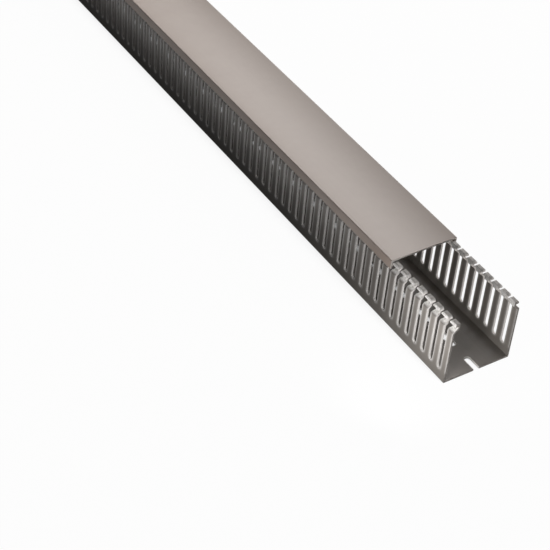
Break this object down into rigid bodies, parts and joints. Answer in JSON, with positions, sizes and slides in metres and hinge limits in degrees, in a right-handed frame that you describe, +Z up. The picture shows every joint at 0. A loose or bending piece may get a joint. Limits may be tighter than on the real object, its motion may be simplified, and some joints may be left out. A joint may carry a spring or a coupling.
{
  "type": "slotted wire duct",
  "caption": "Open-slot wiring duct: a straight U-shaped channel with slotted walls and snap heads, mounting slots along its base and a clip-on cover slid back from one end.",
  "frame": {"origin": "on the underside of the base, at the middle of the row of mounting slots", "axes": "+X along the duct towards its open end, +Y across to the far wall, +Z up from the base to the cover"},
  "size_m": [1.096, 0.075, 0.072],
  "materials": {
    "duct_pvc": "satin warm grey rigid PVC, lighter along punched edges",
    "cover_pvc": "smooth satin warm grey rigid PVC"
  },
  "bodies": {
    "duct": {"slotted_duct": "duct_pvc"},
    "cover": {"clip_on_cover": "cover_pvc"}
  },
  "joints": [
    {"name": "cover_slide", "type": "slide", "parent": "duct", "child": "cover", "axis": [1, 0, 0], "range_m": [-0.404, 0.096]}
  ]
}
